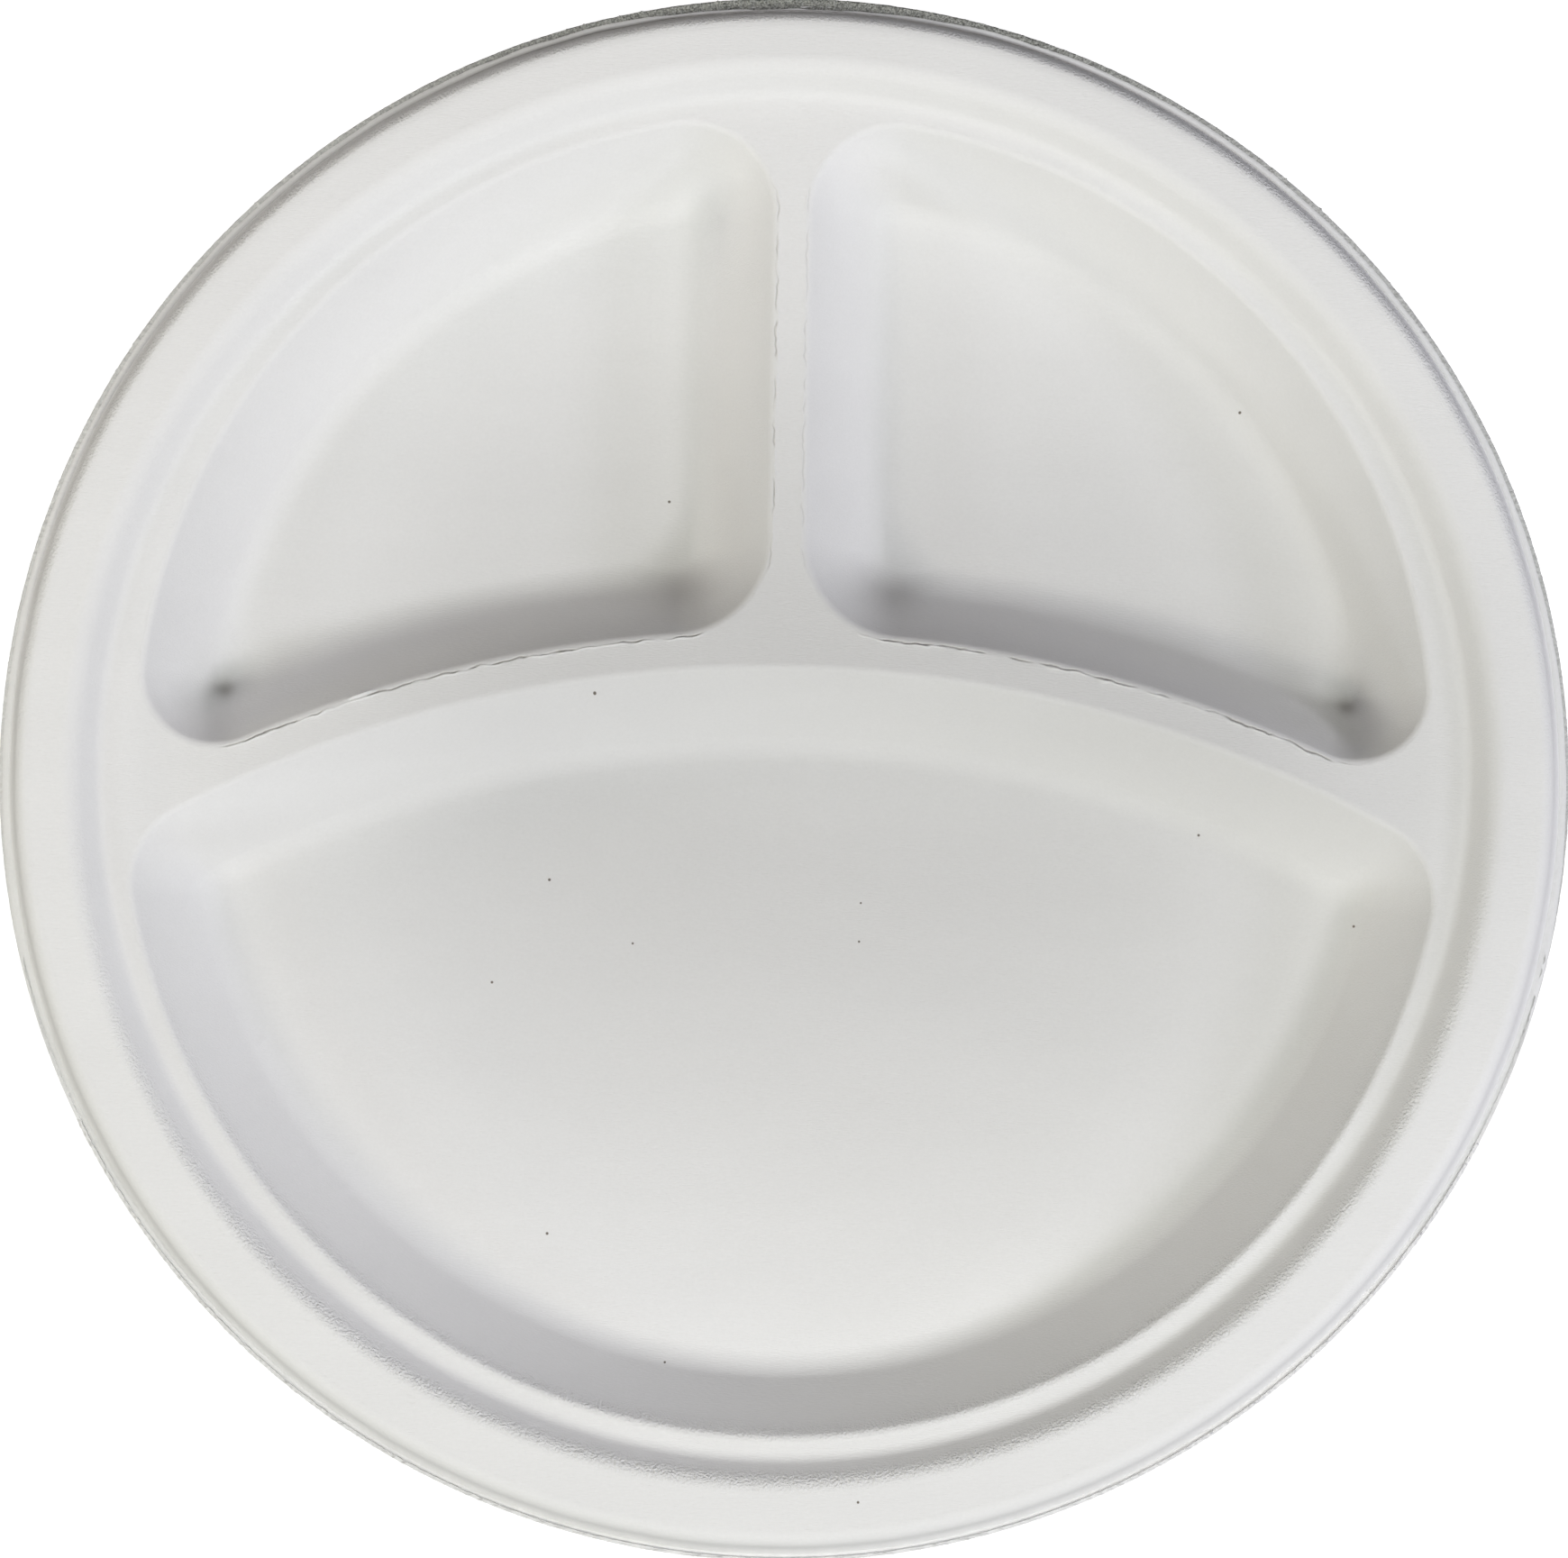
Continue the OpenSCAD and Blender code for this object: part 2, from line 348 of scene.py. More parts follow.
TORN_RISE, TORN_RIDGE_W = 0.24, 0.13     # the line of torn fibre along a well's edge: a ridge,
TORN_SLIT, TORN_SLIT_W = 0.3, 0.11       # then a slit below it
TORN_GAP = 0.27         # from the ridge to the slit
TORN_LINE = 0.02        # where the ridge runs inside the outline, and how far it wanders
TORN_WANDER, TORN_WANDER_SIZE = 0.24, 2.1
TORN_JITTER, TORN_JITTER_SIZE = 0.16, 0.9
TORN_REACH = 1.5        # how close to a divider's edge the fibre is torn
TORN_LEFT, TORN_RIGHT = 0.55, 0.22       # strength beside the straight divider; the arch has 1
TORN_ELSEWHERE = 0.05


def torn_edges(p, d):
    """Torn fibre along the wells' edges, strongest over the arched divider.

    Returns its height and how deep each point lies in the groove below the ridge, which sets the
    painted shade there.
    """
    wander = TORN_WANDER * lattice_noise(p, TORN_WANDER_SIZE, seed=11)
    jitter = TORN_JITTER * lattice_noise(p, TORN_JITTER_SIZE, seed=13)
    across = d - (TORN_LINE + wander + jitter)
    ridge = np.exp(-(across / TORN_RIDGE_W) ** 2)
    slit_and_painted_shade = np.exp(-((across - TORN_GAP) / TORN_SLIT_W) ** 2)
    from_arch = np.abs(np.linalg.norm(p - ARCH_C, axis=1) - ARCH_HIGH)
    on_arch = ease(1 - from_arch / TORN_REACH)
    on_left = ease(1 - np.abs(p[:, 0] + HALF_W) / TORN_REACH) * (p[:, 1] > ARCH_Y)
    on_right = ease(1 - np.abs(p[:, 0] - HALF_W) / TORN_REACH) * (p[:, 1] > ARCH_Y)
    strength = TORN_ELSEWHERE + on_arch + TORN_LEFT * on_left + TORN_RIGHT * on_right
    strength = np.clip(strength, 0, 1)
    # both come and go along the edge
    rise = np.clip(0.35 + 1.3 * lattice_noise(p, 1.6, seed=12), 0, 1.3)
    gape = np.clip(0.6 + 1.5 * lattice_noise(p, 1.9, seed=14), 0, 1)
    return strength * (TORN_RISE * rise * ridge - TORN_SLIT * gape * slit_and_painted_shade), strength * gape * slit_and_painted_shade


# painted shade in the pockets of each small well, as number of the corner, offset, reach and
# strength
PAINTED_POCKET_SHADES = [
    (0, (0.0, -1.1), 1.7, 0.62),
    (1, (2.4, -7.0), 5.0, 0.36),
]


def painted_pocket_shade(p):
    """Painted shade in the tight pockets of the mould: how much darker the colour is made there,
    guessed from the photo.
    """
    shade = np.zeros(len(p))
    for well, side in zip(WELLS[1:], (1, -1)):
        for corner, (dx, dy), reach, strength in PAINTED_POCKET_SHADES:
            centre = well.corners[corner].centre + np.array([side * dx, dy])
            shade += strength * np.exp(-np.sum((p - centre) ** 2, axis=1) / reach ** 2)
    return shade


# Raised flakes of pulp, as x, y, length, width, height and heading in degrees. They were picked one
# by one in the photograph, and another program turned their places into millimetres.
FLAKES = [
    (-70.3, 11.5, 4.0, 0.6, 0.7, 20),
    (-86.9, -45.5, 2.0, 0.7, 0.22, 60),
    (-87.0, -53.4, 1.5, 0.6, 0.2, 75),
    (-79.6, -63.7, 1.8, 0.7, 0.22, 40),
    (-72.3, -70.1, 2.2, 0.8, 0.22, 25),
]


def flakes(p):
    """Height of the flakes at points p: a flat top along each one, rounded across it."""
    rise = np.zeros(len(p))
    for x, y, length, width, height, turn in FLAKES:
        along = unit(math.radians(turn))
        q = p - (x, y)
        u = q @ along / (length / 2)
        v = (q[:, 1] * along[0] - q[:, 0] * along[1]) / (width / 2)
        rise += height * np.exp(-np.clip(u ** 4 + v ** 2, 0, 30))
    return rise


def unevenness(p, d):
    """What the felted pulp adds to the moulded height at points p, d inside a well's outline."""
    ripples = RIPPLE_RISE * lattice_noise(p, RIPPLE_SIZE, seed=22)
    return waves(p) + ripples + torn_edges(p, d)[0] + flakes(p)


# ---------------------------------------------------------------- the mesh of the upper face
WHOLE_HULL = 0           # Delaunay output that keeps every triangle, for the caller to choose from
MERGE_WITHIN = 1e-7
ROW_PITCH = 0.866        # between the rows of a triangular grid, for a step of 1 along a row


class Skin:
    """Growing lists of points and faces, with shared rings of point numbers.

    Each point also carries marks for the material: how much painted shade it takes in the torn
    grooves, the lip's crease and the tight pockets, how unpressed the pulp is there together with
    the painted shade on that band, and how fibrous.
    """

    def __init__(self):
        self.points, self.marks, self.faces, self.count = [], [], [], 0

    def add(self, p, z, slit_and_painted_shade=0.0, raw_and_painted_shade=0.0, fuzz=0.0):
        """Adds points p at heights z with their marks, and returns their numbers."""
        first, n = self.count, len(p)
        z, slit_and_painted_shade, raw_and_painted_shade, fuzz = (np.broadcast_to(v, n) for v in (z, slit_and_painted_shade, raw_and_painted_shade, fuzz))
        self.points.append(np.column_stack([p, z]))
        self.marks.append(np.column_stack([slit_and_painted_shade, raw_and_painted_shade, fuzz]))
        self.count += n
        return np.arange(first, self.count)

    def strip(self, ring_a, ring_b):
        """Quads between two closed rings of equal length; ring_b lies on the left of ring_a."""
        a2, b2 = np.roll(ring_a, -1), np.roll(ring_b, -1)
        quads = np.stack([ring_a, a2, b2, ring_b], axis=1)
        self.faces.append(quads)

    def widen(self, ring, fine, ratio):
        """Faces between a ring and one outside it with several times as many points."""
        n = len(ring)
        for k in range(ratio):
            a, b = fine[k::ratio], np.roll(fine, -1)[k::ratio]
            self.faces.append(np.stack([ring, a, b], axis=1))
        last = np.roll(fine, -ratio)[::ratio]
        self.faces.append(np.stack([ring, last, np.roll(ring, -1)], axis=1))

    def fill(self, rings, p, z, keep, slit_and_painted_shade=0.0):
        """Triangles over the area between fixed rings, through loose points p at heights z."""
        loops = [np.concatenate(self.points)[ring][:, :2] for ring in rings]
        numbers = np.concatenate(rings)
        coords = np.concatenate(loops + [p])
        edges, start = [], 0
        for loop in loops:
            n = len(loop)
            edges += [(start + k, start + (k + 1) % n) for k in range(n)]
            start += n
        numbers = np.concatenate([numbers, self.add(p, z, slit_and_painted_shade)])
        _, _, faces, origin, _, _ = delaunay_2d_cdt(
            [Vector(c) for c in coords], edges, [], WHOLE_HULL, MERGE_WITHIN)
        source = np.array([o[0] if o else -1 for o in origin])
        tri = np.array([f for f in faces if len(f) == 3])
        tri = tri[(source[tri] >= 0).all(axis=1)]
        tri = source[tri]
        middle = coords[tri].mean(axis=1)
        self.faces.append(numbers[tri[keep(middle)]])


def grid_points(low, high, step):
    """Points of a triangular grid over a rectangle."""
    rows = np.arange(low[1], high[1], step * ROW_PITCH)
    out = []
    for k, y in enumerate(rows):
        x = np.arange(low[0] + (k % 2) * step / 2, high[0], step)
        out.append(np.stack([x, np.full_like(x, y)], axis=1))
    return np.concatenate(out)


OUTLINE_STEPS = (0.6, 0.34, 0.34)        # between the points along each well's outline
WEB_ROWS = (-0.6, -0.44, -0.32, -0.21, -0.1)
EDGE_ROWS = 14           # rows over the rolled edge
WALL_STEP = 0.8          # rows down the straight wall
TURN_STEP = math.radians(3.5)            # rows round the turn into the floor
STRUCTURED_TO = 12.4     # depth of the last closed ring of a well; inside it the mesh is filled
RING_MARGIN = 1e-6       # keeps slivers between the points of a ring out of the filled area
FLOOR_ROW_STEP = 0.32    # rows of loose points past that ring, and how far past the wall they go
FLOOR_ROWS_PAST = 1.2
ROW_SLACK = 0.02         # a loose point further off its own row's depth is dropped
FLOOR_STEP = 1.5         # grid on the flat floor, and how far past the wall it starts
FLOOR_GRID_PAST = 1.9
POCKET_STEP = 0.35       # grid in the turns of the corners, and half the width of its square
POCKET_HALF = 4.0
POCKET_FROM, POCKET_SHORT = 0.2, 0.6     # where it starts past the ring and ends before the foot
RIM_POINTS = 1400
RIM_STEP = 0.42          # along the rim's profile
LIP_FINENESS = 3         # points on the lip for each one on the rim
WEB_STEP = 0.9           # grid on the dividers' flat tops and the ledge, and its clear edge
WEB_MARGIN = 0.4
OFF_EDGES = -2.0         # a distance at which no torn edge reaches

NAP, NAP_AT, NAP_W = 0.9, 1.3, 1.2       # nap on the large well's wall: strength, depth, width
NAP_FROM_R, NAP_FADE = 95.0, 8.0


def edge_fuzz(p, d):
    """How fibrous a well's wall is: a loose nap stands along its upper edge in front."""
    r = np.linalg.norm(p, axis=1)
    front = ease(0.1 - p[:, 1] / np.maximum(r, 1.0))
    outside = ease((r - NAP_FROM_R) / NAP_FADE)
    return NAP * front * outside * np.exp(-((d - NAP_AT) / NAP_W) ** 2)


def well_skin(skin, well, step):
    """Adds one well, and returns the ring of points that runs round it on the flat top."""
    base, into = well.outline(step)

    def row(s):
        p = base + into * s
        d = well.depth_in(p) if s > 0 else np.full(len(p), s)
        z = wall_height(np.maximum(d, 0), floor_roll(p)) + unevenness(p, d)
        # the points carry the painted shade of the torn grooves and of the pockets
        return skin.add(p, z, torn_edges(p, d)[1] + painted_pocket_shade(p), fuzz=edge_fuzz(p, d))

    bend_at = WALL_RUN - FLOOR_R * math.sin(WALL_ANGLE)
    turns = WALL_RUN - FLOOR_R * np.sin(np.arange(WALL_ANGLE, 0, -TURN_STEP))
    rows = list(WEB_ROWS) + list(np.linspace(0, EDGE_RUN, EDGE_ROWS))
    rows += list(np.arange(EDGE_RUN + WALL_STEP / 2, bend_at - WALL_STEP / 3, WALL_STEP))
    rows += list(turns[turns < STRUCTURED_TO]) + [STRUCTURED_TO]
    rings = [row(s) for s in rows]
    for outer, inner in zip(rings, rings[1:]):
        skin.strip(outer, inner)

    last = rows[-1]
    loose = []
    depths = np.arange(last + FLOOR_ROW_STEP, WALL_RUN + FLOOR_ROWS_PAST, FLOOR_ROW_STEP)
    for k, s in enumerate(depths):
        p = base + into * s
        if k % 2 == 0:
            p = (p + np.roll(p, -1, axis=0)) / 2
        loose.append(p[np.abs(well.depth_in(p) - s) < ROW_SLACK])
    g = grid_points(base.min(0), base.max(0), FLOOR_STEP)
    loose.append(g[well.depth_in(g) > WALL_RUN + FLOOR_GRID_PAST])
    for corner in well.corners:
        g = grid_points(corner.centre - POCKET_HALF, corner.centre + POCKET_HALF, POCKET_STEP)
        d = well.depth_in(g)
        loose.append(g[(d > last + POCKET_FROM) & (d < WALL_RUN - POCKET_SHORT)])
    loose = np.concatenate(loose)
    d = well.depth_in(loose)
    z = wall_height(d, floor_roll(loose)) + unevenness(loose, d)
    inner = last + RING_MARGIN
    # the loose points carry the pockets' painted shade as well
    skin.fill([rings[-1]], loose, z, lambda m: well.depth_in(m) > inner, painted_pocket_shade(loose))
    return rings[0]


# ---------------------------------------------------------------- the lip
# Sizes that change round the plate, as pairs of the angle's sine (-1 in front, 1 at the back) and
# the value there.
CREASE_INSET = ((-1, 1.07), (-0.5, 1.4), (0, 1.72), (0.87, 1.9), (0.97, 1.95), (1, 2.2))
RAW_WIDTH = ((-0.5, 0), (-0.2, 0.2), (0, 0.6), (0.5, 0.85), (0.87, 0.9), (0.97, 1.15), (0.99, 1.5),
             (1, 2.0))
CREASE_DEPTH = ((0, 0), (0.26, 0.06), (0.5, 0.12), (0.71, 0.3), (0.87, 0.6), (0.97, 1))
# painted shade on the raw band round the plate, strongest at the back
RAW_BAND_PAINTED_SHADE = ((0, 0.3), (0.5, 0.4), (0.71, 0.45), (0.87, 0.7), (0.97, 1))

LEAST_SMOOTH = 0.22      # narrowest smooth band between the crease and the raw one
RAW_STEP = 0.2           # how far the raw band lies below the smooth one
FRONT_CREASE, BACK_CREASE = 0.08, 0.5    # depth of the crease in front, and how much the back adds
CREASE_IN, CREASE_OUT = 0.12, 0.13       # half widths of the crease, inwards and outwards
CREASE_GRAIN, SMOOTH_GRAIN, FLAT_GRAIN = 0.04, 0.02, 0.015   # roughness of each ring's height


def round_the_plate(sine, knots):
    """The value at each sine between knots of sine and value."""
    return np.interp(sine, *zip(*knots))


def lip_shape(angle):
    """Crease, end of the smooth band and outer edge of the lip at each angle, as radii.

    The trimming knife sat a little off centre, so an unpressed, fibrous band is left outside
    the smooth one at the back and runs out at the front.
    """
    sine = np.sin(angle)
    around = np.stack([np.cos(angle), sine], axis=1) * LIP_R
    inset = round_the_plate(sine, CREASE_INSET)
    crease = LIP_R - inset + 0.07 * lattice_noise(around, 7.0, seed=31)
    outer = np.full(len(angle), LIP_R)
    raw_width = round_the_plate(sine, RAW_WIDTH) * (1 + 0.12 * lattice_noise(around, 5.0, seed=32))
    smooth_end = np.maximum(outer - raw_width, crease + LEAST_SMOOTH)
    return crease, smooth_end, outer


def build_lip(skin, rim_ring):
    """The lip's upper face, from the last ring of the rim's skirt out to the trimmed edge."""
    n = RIM_POINTS * LIP_FINENESS
    angle = np.arange(n) * TURN / n
    out = np.stack([np.cos(angle), np.sin(angle)], axis=1)
    crease, smooth_end, outer = lip_shape(angle)
    # back sets both how deep the crease is and how strong the painted shade in it is
    back = round_the_plate(np.sin(angle), CREASE_DEPTH)
    step_down = RAW_STEP * ease((outer - smooth_end) / 0.35)
    groove = FRONT_CREASE + BACK_CREASE * back
    edge_wave = 0.5 + 0.5 * lattice_noise(out * LIP_R, 0.9, seed=33)
    outer = outer - 0.05 * edge_wave

    def ring(r, z, grain, slit_and_painted_shade=0.0, raw_and_painted_shade=0.0):
        p = out * r[:, None]
        rough = lattice_noise(p, 0.45, seed=34) + 0.7 * lattice_noise(p, 1.3, seed=35)
        return skin.add(p, z + grain * rough, slit_and_painted_shade, raw_and_painted_shade)

    width = outer - smooth_end
    raw_grain = 0.02 + 0.13 * ease(width / 0.5)
    # painted shade on the unpressed band: strongest at the back, and a little stronger on the right
    # than on the left
    dark = round_the_plate(np.sin(angle), RAW_BAND_PAINTED_SHADE)
    raw_and_painted_shade = ease(width / 0.3) * np.clip(dark + 0.12 * np.cos(angle), 0, 1)
    band = crease + CREASE_OUT
    low = LIP_TOP - step_down
    rows = [
        # the crease, with painted shade in it that deepens towards the back
        ring(crease - CREASE_IN, LIP_TOP - 0.4 * groove, SMOOTH_GRAIN, slit_and_painted_shade=0.3 * back),
        ring(crease, LIP_TOP - groove, CREASE_GRAIN, slit_and_painted_shade=0.12 + 0.88 * back),
        ring(band, LIP_TOP - 0.02, SMOOTH_GRAIN, slit_and_painted_shade=0.35 * back),
        # the smooth band, slightly crowned
        ring(band + 0.4 * (smooth_end - band), LIP_TOP + 0.04, FLAT_GRAIN),
        ring(smooth_end - 0.04, LIP_TOP, SMOOTH_GRAIN),
        # the raw band, down to the knife's edge
        ring(smooth_end + 0.08 * ease(width), low, raw_grain, raw_and_painted_shade=raw_and_painted_shade),
        ring(smooth_end + 0.3 * width, low, raw_grain, raw_and_painted_shade=raw_and_painted_shade),
        ring(smooth_end + 0.52 * width, low, raw_grain, raw_and_painted_shade=raw_and_painted_shade),
        ring(smooth_end + 0.76 * width, low - 0.02, raw_grain, raw_and_painted_shade=raw_and_painted_shade),
        ring(outer - 0.04, low - 0.05, raw_grain, raw_and_painted_shade=raw_and_painted_shade),
    ]
    skin.widen(rim_ring, rows[0], LIP_FINENESS)
    for a, b in zip(rows, rows[1:]):
        skin.strip(b, a)
    return rows[-1]


BACK_SAG = 0.5           # how much further the rim's outer shoulder rolls down at the back,
BACK_SAG_FROM, BACK_SAG_RUN = 123.6, 3.0  # from which radius, and over how much of it
FRONT_PUSH = 0.3         # how much further out it turns in front
SKIRT_GAP = 0.3          # from the skirt's foot to the bottom of the crease
STREAK_RISE, STREAK_SIZE = 0.04, 0.9     # fine streaks where the rim is fibrous
STREAK_STRETCH = 3.0     # how much longer they are along a radius than across it
BANK_FUZZ, BANK_FUZZ_W = 1.3, 1.3        # strength and width of the fibrous part of the bank,
BANK_FUZZ_IN = 2.2       # and how far inside the rim's flat top it lies
SHOULDER_FUZZ_RUN = 1.5


def rim_fuzz(r, angle):
    """How fibrous the rim is: its bank's upper roll in front, its outer shoulder at the back."""
    bank = BANK_FUZZ * math.exp(-((r - RIM_IN_R + BANK_FUZZ_IN) / BANK_FUZZ_W) ** 2)
    shoulder = float(ease((r - RIM_OUT_R) / SHOULDER_FUZZ_RUN))
    front, back = ease(0.2 - np.sin(angle)), ease(0.3 + np.sin(angle))
    return bank * front + shoulder * back


def build_rim(skin):
    """The bank, rim, shoulder and skirt, from the ledge outwards. Returns first and last ring."""
    angle = np.arange(RIM_POINTS) * TURN / RIM_POINTS
    out = np.stack([np.cos(angle), np.sin(angle)], axis=1)
    pull = lip_shape(angle)[0] - SKIRT_GAP - CREASE_R
    push = FRONT_PUSH * ease(-out[:, 1])
    rings = []
    for r, z in rim_profile(RIM_STEP):
        across = max(0.0, (r - RIM_IN_R) / (CREASE_R - RIM_IN_R))
        p = out * (r + pull * across ** 2 + push * math.sin(math.pi * across))[:, None]
        fuzz = rim_fuzz(r, angle)
        along = np.column_stack([angle * LIP_R, np.full(RIM_POINTS, r / STREAK_STRETCH)])
        streaks = lattice_noise(along, STREAK_SIZE, seed=36)
        sag = np.clip((r - BACK_SAG_FROM) / BACK_SAG_RUN, 0, 1) ** 2
        z = z - BACK_SAG * ease(out[:, 1]) * sag + waves(p) + STREAK_RISE * fuzz * streaks
        rings.append(skin.add(p, np.minimum(z, RIM_Z), fuzz=fuzz))
    for a, b in zip(rings, rings[1:]):
        skin.strip(b, a)
    return rings[0], rings[-1]


def build_upper_face():
    """The whole upper face, and the ring of points along its trimmed edge."""
    skin = Skin()
    outlines = [well_skin(skin, well, step) for well, step in zip(WELLS, OUTLINE_STEPS)]
    ledge, skirt = build_rim(skin)
    edge = build_lip(skin, skirt)

    def on_web(p, margin=0.0):
        r = np.linalg.norm(p, axis=1)
        clear = np.max([w.depth_in(p) for w in WELLS], axis=0)
        return (r < LEDGE_R - margin) & (clear < WEB_ROWS[0] - margin)

    g = grid_points((-LEDGE_R, -LEDGE_R), (LEDGE_R, LEDGE_R), WEB_STEP)
    g = g[on_web(g, WEB_MARGIN)]
    z = TOP_Z + unevenness(g, np.full(len(g), OFF_EDGES))
    skin.fill([ledge] + outlines, g, z, on_web)
    return skin, edge


def write_mesh(name, points, face_lists, marks):
    """A mesh object from points in millimetres, lists of quads and triangles, and point marks."""
    mesh = bpy.data.meshes.new(name)
    loops = np.concatenate([f.ravel() for f in face_lists])
    sizes = np.concatenate([np.full(len(f), f.shape[1]) for f in face_lists])
    mesh.vertices.add(len(points))
    mesh.vertices.foreach_set("co", (points * MM).ravel())
    mesh.loops.add(len(loops))
    mesh.loops.foreach_set("vertex_index", loops.astype(np.int32))
    mesh.polygons.add(len(sizes))
    starts = np.concatenate([[0], np.cumsum(sizes)[:-1]])
    mesh.polygons.foreach_set("loop_start", starts.astype(np.int32))
    mesh.polygons.foreach_set("loop_total", sizes.astype(np.int32))
    for label, values in marks.items():
        mesh.attributes.new(label, "FLOAT", "POINT").data.foreach_set("value", values)
    mesh.update(calc_edges=True)
    mesh.validate()
    mesh.shade_smooth()
    obj = bpy.data.objects.new(name, mesh)
    bpy.context.scene.collection.objects.link(obj)
    return obj


def vertex_normals(points, face_lists):
    """Unit normals, each face counted by its area at its own corners."""
    normals = np.zeros_like(points)
    for f in face_lists:
        a, b, c = points[f[:, 0]], points[f[:, 1]], points[f[:, 2]]
        n = np.cross(b - a, c - a)
        for k in range(f.shape[1]):
            np.add.at(normals, f[:, k], n)
    return normals / np.linalg.norm(normals, axis=1)[:, None]


def build_plate():
    """The shell: the upper face, the underside at the pulp's thickness below it, and the edge."""
    skin, lip = build_upper_face()
    top = np.concatenate(skin.points)
    normals = vertex_normals(top, skin.faces)
    under = top - normals * WALL_T
    under[:, 2] = np.maximum(under[:, 2], 0.0)
    n = len(top)
    slit_and_painted_shade, raw_and_painted_shade, fuzz = np.concatenate(skin.marks).T
    none = np.zeros(n)
    marks = {
        "slit_and_painted_shade": np.concatenate([slit_and_painted_shade, none]),
        "raw_and_painted_shade": np.concatenate([raw_and_painted_shade, raw_and_painted_shade]),
        "fuzz": np.concatenate([fuzz, none]),
        "under": np.concatenate([none, none + 1]),
    }
    faces = list(skin.faces) + [f[:, ::-1] + n for f in skin.faces]
    lip_under = lip + n
    a2, b2 = np.roll(lip, -1), np.roll(lip_under, -1)
    faces.append(np.stack([lip, lip_under, b2, a2], axis=1))
    return write_mesh("pulp_plate", np.concatenate([top, under]), faces, marks)


# ---------------------------------------------------------------- material
PULP = (0.73, 0.73, 0.725)
RAW_PULP_IN_PAINTED_SHADE = (0.275, 0.28, 0.26)           # the raw band: duller unpressed pulp with painted shade on it, as dark as it looks in the photograph
# colour of the pith specks, and the colour that the painted shade of grooves, crease and pockets
# goes towards
PITH_AND_SHADE = (0.16, 0.14, 0.12)
PAINTED_SLIT_SHADE = 0.8      # how far the painted shade at the bottom of a groove, the crease or a pocket goes towards that colour
TONE_SPREAD = 0.05       # how much the slow cloud and the fine grain each vary the pulp's tone
CLOUD_SIZE, CLOUD_STRETCH = 14.0, (3, 0.8, 1)
GRAIN_SIZE = 0.5
GRIT_SIZE, GRIT_SPREAD = 0.3, 3.0        # coarse, strong grain of the raw band
ROUGHNESS, RAW_ROUGHER = 0.85, 0.1
SPECULAR = 0.25

BUMP = 0.035             # height of the felt's relief for a noise of 1; the others are times that
FIBRE_SIZE, FIBRE_STRETCH = 0.35, (3, 0.7, 1)
FIBRE_TURNS = (0.5, -0.9)                # headings of the two layers of fibre, in radians
FUZZ_SIZE, FUZZ_RISE = 0.45, 12.0        # loose grit on fibrous and raw places
SCREEN_PITCH, SCREEN_RISE = 0.85, 0.45   # forming screen printed on the underside

# A speck's mask is its level less its sharpness times the distance in diameters, cut off at 1.
SPECK_LEVEL, SPECK_SHARP = 2.4, 4.0
# Dark pith specks, as x, y and diameter. They were picked one by one in the photograph, and another
# program turned their places into millimetres.
SPECKS = [
    (-20.2, 46.9, 0.5), (-31.6, 12.6, 0.55), (-39.2, -17.5, 0.5), (-25.0, -28.0, 0.4),
    (13.0, -27.1, 0.4), (13.2, -20.6, 0.35), (-48.5, -34.9, 0.45), (-38.4, -76.8, 0.5),
    (14.1, -120.0, 0.45), (76.0, 63.4, 0.5), (69.8, -8.3, 0.45), (-18.3, -97.9, 0.4),
    (95.9, -23.3, 0.45),
]


class Graph:
    """Short ways to add shader nodes; a socket, a number or a tuple may be given as an input."""

    def __init__(self, material):
        material.use_nodes = True
        self.nodes, self.links = material.node_tree.nodes, material.node_tree.links

    def add(self, kind, inputs, output=0, **settings):
        node = self.nodes.new("ShaderNode" + kind)
        for key, value in settings.items():
            setattr(node, key, value)
        for key, value in inputs.items():
            self.feed(node.inputs[key], value)
        return node.outputs[output]

    def feed(self, socket, value):
        if isinstance(value, bpy.types.NodeSocket):
            self.links.new(value, socket)
        else:
            socket.default_value = value

    def math(self, operation, a, b=0.0, c=0.0):
        return self.add("Math", {0: a, 1: b, 2: c}, operation=operation)

    def varied(self, noise, spread):
        """A factor around 1 from a noise around a half."""
        return self.math("MULTIPLY_ADD", noise, spread, 1 - spread / 2)

    def mix(self, factor, a, b):
        """Colour between a and b."""
        return self.add("Mix", {0: factor, 6: a, 7: b}, output=2, data_type="RGBA")

    def noise(self, place, size, stretch=(1, 1, 1), turn=0.0, detail=2.0):
        """Noise from 0 to 1 with features of the given size in millimetres."""
        scale = [1 / (size * MM * k) for k in stretch]
        where = self.add("Mapping", {"Vector": place, "Scale": scale, "Rotation": (0, 0, turn)})
        return self.add("TexNoise", {"Vector": where, "Scale": 1.0, "Detail": detail})

    def mark(self, name):
        return self.add("Attribute", {}, output="Fac", attribute_name=name)


def speck_mask(graph, place):
    """1 inside the pith specks, 0 elsewhere."""
    flat = graph.add("VectorMath", {0: place, 1: (1, 1, 0)}, operation="MULTIPLY")
    nearest = 0.0
    for x, y, across in SPECKS:
        gap = graph.add("VectorMath", {0: flat, 1: (x * MM, y * MM, 0)}, output="Value",
                        operation="DISTANCE")
        inside = graph.math("MULTIPLY_ADD", gap, -SPECK_SHARP / (across * MM), SPECK_LEVEL)
        nearest = graph.math("MAXIMUM", nearest, inside)
    return graph.math("MINIMUM", nearest, 1.0)


